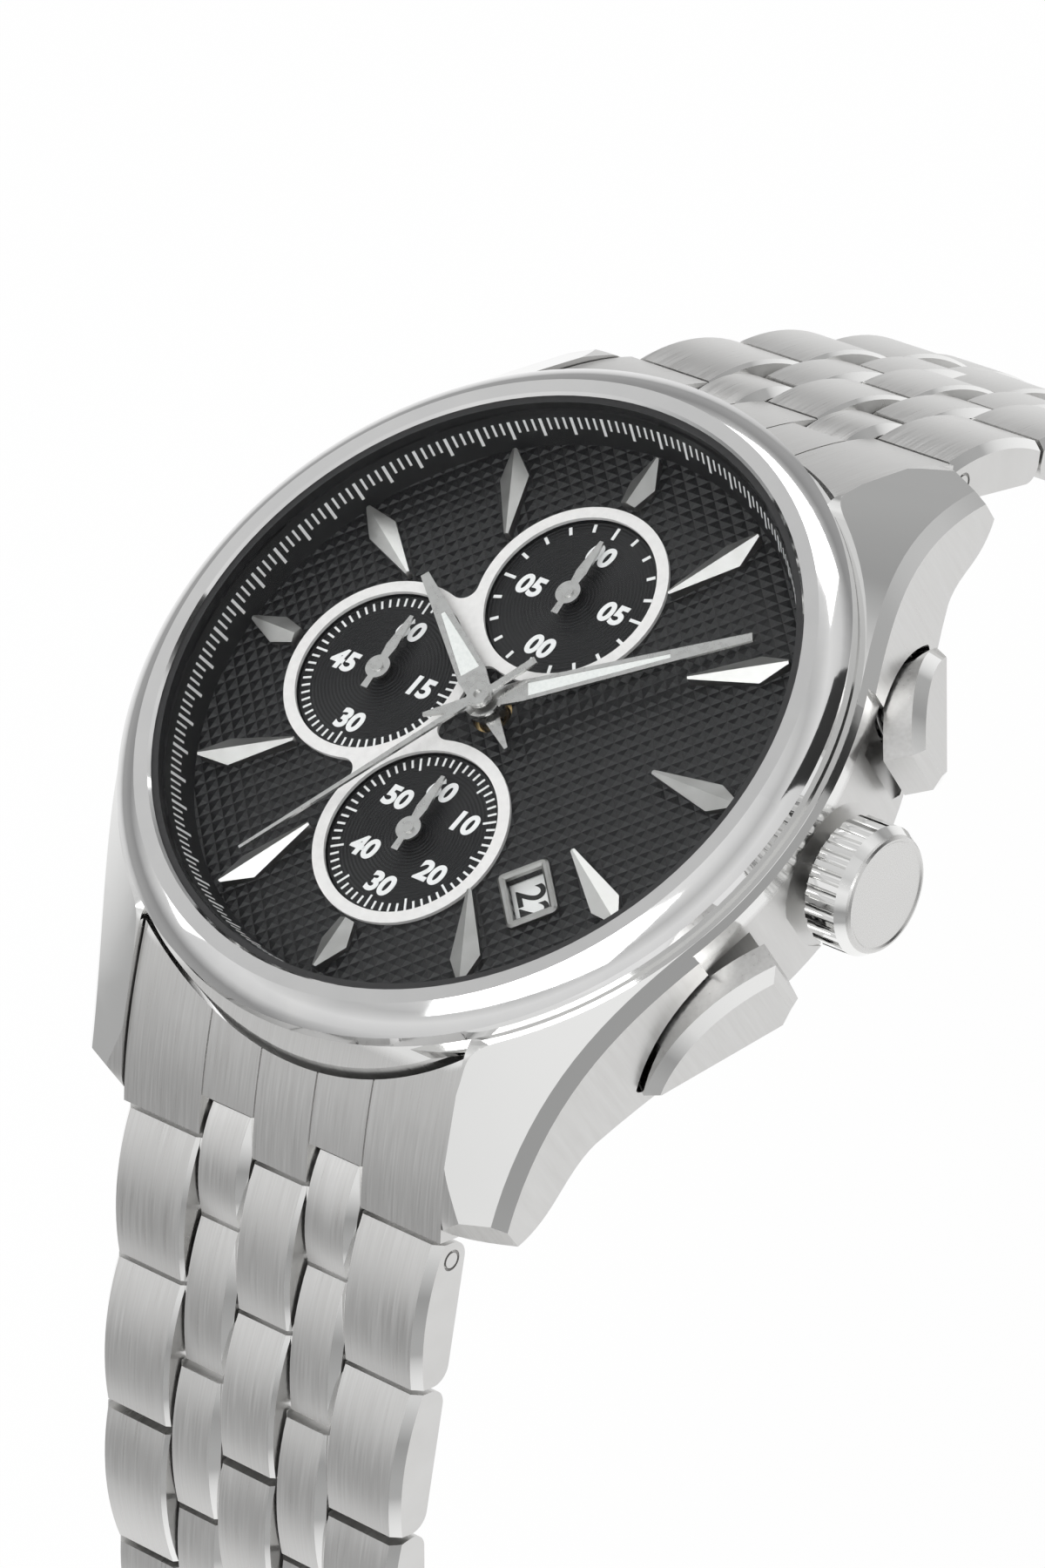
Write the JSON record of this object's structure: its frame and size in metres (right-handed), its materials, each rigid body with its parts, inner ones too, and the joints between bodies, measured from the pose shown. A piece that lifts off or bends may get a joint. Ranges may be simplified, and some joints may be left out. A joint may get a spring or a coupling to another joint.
{
  "type": "wristwatch",
  "caption": "Round steel chronograph wristwatch with recessed sub-dials, date window, wing-shaped pushers, fluted crown and a linked bracelet on a folding clasp.",
  "frame": {"origin": "centre of the flat face of the case back", "axes": "+X towards 3 o'clock and the crown, +Y towards 12 o'clock, +Z out through the dial"},
  "size_m": [0.0451, 0.0986, 0.111],
  "materials": {
    "case_steel": "brushed tops and flanks with polished bevels",
    "polished_steel": "mirror polished",
    "pusher_steel": "satin with polished bevels",
    "back_steel": "satin",
    "small_steel": "turned",
    "crystal_glass": "clear, flat",
    "gasket_rubber": "matte",
    "flange_black": "satin black with white scale",
    "dial_black": "black with a fine pyramid texture",
    "subdial_frame_silver": "satin silver white",
    "marker_steel": "polished facets",
    "date_disc_white": "matte white with black numerals",
    "movement_brass": "satin",
    "holder_plastic": "matte",
    "battery_steel": "satin",
    "hand_steel": "satin with white lume",
    "row_steel": "brushed along the bracelet, polished edge bevel",
    "bridge_steel": "brushed top between polished bevels",
    "clasp_steel": "brushed"
  },
  "bodies": {
    "head": {"mid_case": "case_steel", "bezel": "polished_steel", "crystal": "crystal_glass", "crystal_gasket": "gasket_rubber", "flange_ring": "flange_black", "dial": "dial_black", "subdial_frame": "subdial_frame_silver", "hour_markers": "marker_steel", "date_frame": "marker_steel", "movement": "movement_brass", "movement_ring": "holder_plastic", "battery": "battery_steel", "case_back": "back_steel", "case_back_gasket": "gasket_rubber", "case_tubes": "small_steel", "end_link_12": "case_steel", "end_link_6": "case_steel", "spring_bars": "small_steel", "pusher_spring_2": "small_steel", "pusher_spring_4": "small_steel"},
    "date_disc": {"date_disc": "date_disc_white"},
    "hour_hand": {"hour_hand": "hand_steel"},
    "minute_hand": {"minute_hand": "hand_steel"},
    "chrono_seconds_hand": {"chrono_seconds_hand": "hand_steel"},
    "fraction_hand": {"fraction_hand": "hand_steel"},
    "chrono_minute_hand": {"chrono_minute_hand": "hand_steel"},
    "small_seconds_hand": {"small_seconds_hand": "hand_steel"},
    "stem": {"stem": "small_steel"},
    "crown": {"crown": "polished_steel"},
    "pusher_2": {"pusher_2": "pusher_steel"},
    "pusher_4": {"pusher_4": "pusher_steel"},
    "bridge_12_1": {"bridge_12_1": "bridge_steel"},
    "row_12_1": {"row_12_1": "row_steel"},
    "bridge_12_2": {"bridge_12_2": "bridge_steel"},
    "row_12_2": {"row_12_2": "row_steel"},
    "bridge_12_3": {"bridge_12_3": "bridge_steel"},
    "row_12_3": {"row_12_3": "row_steel"},
    "bridge_12_4": {"bridge_12_4": "bridge_steel"},
    "row_12_4": {"row_12_4": "row_steel"},
    "bridge_12_5": {"bridge_12_5": "bridge_steel"},
    "row_12_5": {"row_12_5": "row_steel"},
    "bridge_12_6": {"bridge_12_6": "bridge_steel"},
    "row_12_6": {"row_12_6": "row_steel"},
    "bridge_12_7": {"bridge_12_7": "bridge_steel"},
    "row_12_7": {"row_12_7": "row_steel"},
    "clasp_blade_inner": {"clasp_blade_inner": "clasp_steel"},
    "bridge_6_1": {"bridge_6_1": "bridge_steel"},
    "row_6_1": {"row_6_1": "row_steel"},
    "bridge_6_2": {"bridge_6_2": "bridge_steel"},
    "row_6_2": {"row_6_2": "row_steel"},
    "bridge_6_3": {"bridge_6_3": "bridge_steel"},
    "row_6_3": {"row_6_3": "row_steel"},
    "bridge_6_4": {"bridge_6_4": "bridge_steel"},
    "row_6_4": {"row_6_4": "row_steel"},
    "bridge_6_5": {"bridge_6_5": "bridge_steel"},
    "row_6_5": {"row_6_5": "row_steel"},
    "bridge_6_6": {"bridge_6_6": "bridge_steel"},
    "row_6_6": {"row_6_6": "row_steel"},
    "clasp_blade_outer": {"clasp_blade_outer": "clasp_steel"},
    "clasp_cover": {"clasp_cover": "clasp_steel"}
  },
  "joints": [
    {"name": "minute_hand_turn", "type": "hinge", "parent": "head", "child": "minute_hand", "pos_m": [0, 0, 0.0094], "axis": [0, 0, -1], "continuous": true},
    {"name": "hour_hand_turn", "type": "hinge", "parent": "head", "child": "hour_hand", "pos_m": [0, 0, 0.00895], "axis": [0, 0, -1], "continuous": true},
    {"name": "date_disc_turn", "type": "hinge", "parent": "head", "child": "date_disc", "pos_m": [0, 0, 0.00755], "axis": [0, 0, -1], "continuous": true},
    {"name": "chrono_seconds_turn", "type": "hinge", "parent": "head", "child": "chrono_seconds_hand", "pos_m": [0, 0, 0.00985], "axis": [0, 0, -1], "continuous": true},
    {"name": "chrono_minute_turn", "type": "hinge", "parent": "head", "child": "chrono_minute_hand", "pos_m": [-0.0076, 0, 0.00855], "axis": [0, 0, -1], "continuous": true},
    {"name": "fraction_turn", "type": "hinge", "parent": "head", "child": "fraction_hand", "pos_m": [0, 0.0076, 0.00855], "axis": [0, 0, -1], "continuous": true},
    {"name": "small_seconds_turn", "type": "hinge", "parent": "head", "child": "small_seconds_hand", "pos_m": [0, -0.0076, 0.00855], "axis": [0, 0, -1], "continuous": true},
    {"name": "crown_pull", "type": "slide", "parent": "head", "child": "stem", "axis": [1, 0, 0], "range_m": [0, 0.0012]},
    {"name": "crown_turn", "type": "hinge", "parent": "stem", "child": "crown", "pos_m": [0.02265, 0, 0.00465], "axis": [1, 0, 0], "continuous": true},
    {"name": "pusher_2_press", "type": "slide", "parent": "head", "child": "pusher_2", "axis": [-0.8387, -0.5446, 0], "range_m": [0, 0.0008], "stiffness_N_per_m": 3000, "springref_m": -0.001, "deforming": ["pusher_spring_2"]},
    {"name": "pusher_4_press", "type": "slide", "parent": "head", "child": "pusher_4", "axis": [-0.8387, 0.5446, 0], "range_m": [0, 0.0008], "stiffness_N_per_m": 3000, "springref_m": -0.001, "deforming": ["pusher_spring_4"]},
    {"name": "bridge_12_1_hinge", "type": "hinge", "parent": "head", "child": "bridge_12_1", "pos_m": [0, 0.02327, 0.00154], "axis": [1, 0, 0], "range_deg": [-1, 2]},
    {"name": "row_12_1_hinge", "type": "hinge", "parent": "bridge_12_1", "child": "row_12_1", "pos_m": [0, 0.02485, -0.00006], "axis": [1, 0, 0], "range_deg": [-1, 2]},
    {"name": "bridge_12_2_hinge", "type": "hinge", "parent": "row_12_1", "child": "bridge_12_2", "pos_m": [0, 0.02908, -0.00445], "axis": [1, 0, 0], "range_deg": [-0.5, 2]},
    {"name": "row_12_2_hinge", "type": "hinge", "parent": "bridge_12_2", "child": "row_12_2", "pos_m": [0, 0.03056, -0.00615], "axis": [1, 0, 0], "range_deg": [-0.5, 2]},
    {"name": "bridge_12_3_hinge", "type": "hinge", "parent": "row_12_2", "child": "bridge_12_3", "pos_m": [0, 0.03432, -0.01096], "axis": [1, 0, 0], "range_deg": [-1, 2]},
    {"name": "row_12_3_hinge", "type": "hinge", "parent": "bridge_12_3", "child": "row_12_3", "pos_m": [0, 0.03561, -0.0128], "axis": [1, 0, 0], "range_deg": [-1, 2]},
    {"name": "bridge_12_4_hinge", "type": "hinge", "parent": "row_12_3", "child": "bridge_12_4", "pos_m": [0, 0.03884, -0.01797], "axis": [1, 0, 0], "range_deg": [-7.5, 4.57]},
    {"name": "row_12_4_hinge", "type": "hinge", "parent": "bridge_12_4", "child": "row_12_4", "pos_m": [0, 0.0399, -0.01996], "axis": [1, 0, 0], "range_deg": [-7.5, 4.57]},
    {"name": "bridge_12_5_hinge", "type": "hinge", "parent": "row_12_4", "child": "bridge_12_5", "pos_m": [0, 0.04238, -0.02553], "axis": [1, 0, 0], "range_deg": [-11.5, 7]},
    {"name": "row_12_5_hinge", "type": "hinge", "parent": "bridge_12_5", "child": "row_12_5", "pos_m": [0, 0.04316, -0.02764], "axis": [1, 0, 0], "range_deg": [-11.5, 7]},
    {"name": "bridge_12_6_hinge", "type": "hinge", "parent": "row_12_5", "child": "bridge_12_6", "pos_m": [0, 0.04495, -0.03347], "axis": [1, 0, 0], "range_deg": [-9, 5.48]},
    {"name": "row_12_6_hinge", "type": "hinge", "parent": "bridge_12_6", "child": "row_12_6", "pos_m": [0, 0.04549, -0.03566], "axis": [1, 0, 0], "range_deg": [-9, 5.48]},
    {"name": "bridge_12_7_hinge", "type": "hinge", "parent": "row_12_6", "child": "bridge_12_7", "pos_m": [0, 0.04666, -0.04165], "axis": [1, 0, 0], "range_deg": [-6.5, 3.96]},
    {"name": "row_12_7_hinge", "type": "hinge", "parent": "bridge_12_7", "child": "row_12_7", "pos_m": [0, 0.04699, -0.04387], "axis": [1, 0, 0], "range_deg": [-6.5, 3.96]},
    {"name": "clasp_end_hinge", "type": "hinge", "parent": "row_12_7", "child": "clasp_blade_inner", "pos_m": [0, 0.04763, -0.04994], "axis": [1, 0, 0], "range_deg": [-7.47, 4.55]},
    {"name": "bridge_6_1_hinge", "type": "hinge", "parent": "head", "child": "bridge_6_1", "pos_m": [0, -0.02327, 0.00154], "axis": [-1, 0, 0], "range_deg": [-1, 2]},
    {"name": "row_6_1_hinge", "type": "hinge", "parent": "bridge_6_1", "child": "row_6_1", "pos_m": [0, -0.02486, -0.00005], "axis": [-1, 0, 0], "range_deg": [-1, 2]},
    {"name": "bridge_6_2_hinge", "type": "hinge", "parent": "row_6_1", "child": "bridge_6_2", "pos_m": [0, -0.02917, -0.00436], "axis": [-1, 0, 0], "range_deg": [-2, 2]},
    {"name": "row_6_2_hinge", "type": "hinge", "parent": "bridge_6_2", "child": "row_6_2", "pos_m": [0, -0.03077, -0.00596], "axis": [-1, 0, 0], "range_deg": [-2, 2]},
    {"name": "bridge_6_3_hinge", "type": "hinge", "parent": "row_6_2", "child": "bridge_6_3", "pos_m": [0, -0.03508, -0.01027], "axis": [-1, 0, 0], "range_deg": [-1, 2]},
    {"name": "row_6_3_hinge", "type": "hinge", "parent": "bridge_6_3", "child": "row_6_3", "pos_m": [0, -0.03649, -0.01202], "axis": [-1, 0, 0], "range_deg": [-1, 2]},
    {"name": "bridge_6_4_hinge", "type": "hinge", "parent": "row_6_3", "child": "bridge_6_4", "pos_m": [0, -0.03982, -0.01713], "axis": [-1, 0, 0], "range_deg": [-8, 5]},
    {"name": "row_6_4_hinge", "type": "hinge", "parent": "bridge_6_4", "child": "row_6_4", "pos_m": [0, -0.04089, -0.01911], "axis": [-1, 0, 0], "range_deg": [-8, 5]},
    {"name": "bridge_6_5_hinge", "type": "hinge", "parent": "row_6_4", "child": "bridge_6_5", "pos_m": [0, -0.04337, -0.02468], "axis": [-1, 0, 0], "range_deg": [-12, 7.5]},
    {"name": "row_6_5_hinge", "type": "hinge", "parent": "bridge_6_5", "child": "row_6_5", "pos_m": [0, -0.04414, -0.0268], "axis": [-1, 0, 0], "range_deg": [-12, 7.5]},
    {"name": "bridge_6_6_hinge", "type": "hinge", "parent": "row_6_5", "child": "bridge_6_6", "pos_m": [0, -0.04582, -0.03266], "axis": [-1, 0, 0], "range_deg": [-10, 6.25]},
    {"name": "row_6_6_hinge", "type": "hinge", "parent": "bridge_6_6", "child": "row_6_6", "pos_m": [0, -0.04633, -0.03485], "axis": [-1, 0, 0], "range_deg": [-10, 6.25]},
    {"name": "clasp_fold", "type": "hinge", "parent": "clasp_blade_inner", "child": "clasp_blade_outer", "pos_m": [0, 0.03759, -0.0936], "axis": [-1, 0, 0], "range_deg": [0, 140]},
    {"name": "clasp_cover_fold", "type": "hinge", "parent": "clasp_blade_outer", "child": "clasp_cover", "pos_m": [0, 0.04802, -0.05645], "axis": [-1, 0, 0], "range_deg": [-140, 0]}
  ],
  "couplings": [
    {"joint": "hour_hand_turn", "follows": "minute_hand_turn", "ratio": 0.083333},
    {"joint": "date_disc_turn", "follows": "minute_hand_turn", "ratio": 0.0013441},
    {"joint": "chrono_minute_turn", "follows": "chrono_seconds_turn", "ratio": 0.016667},
    {"joint": "clasp_cover_fold", "follows": "clasp_fold", "ratio": -1}
  ]
}
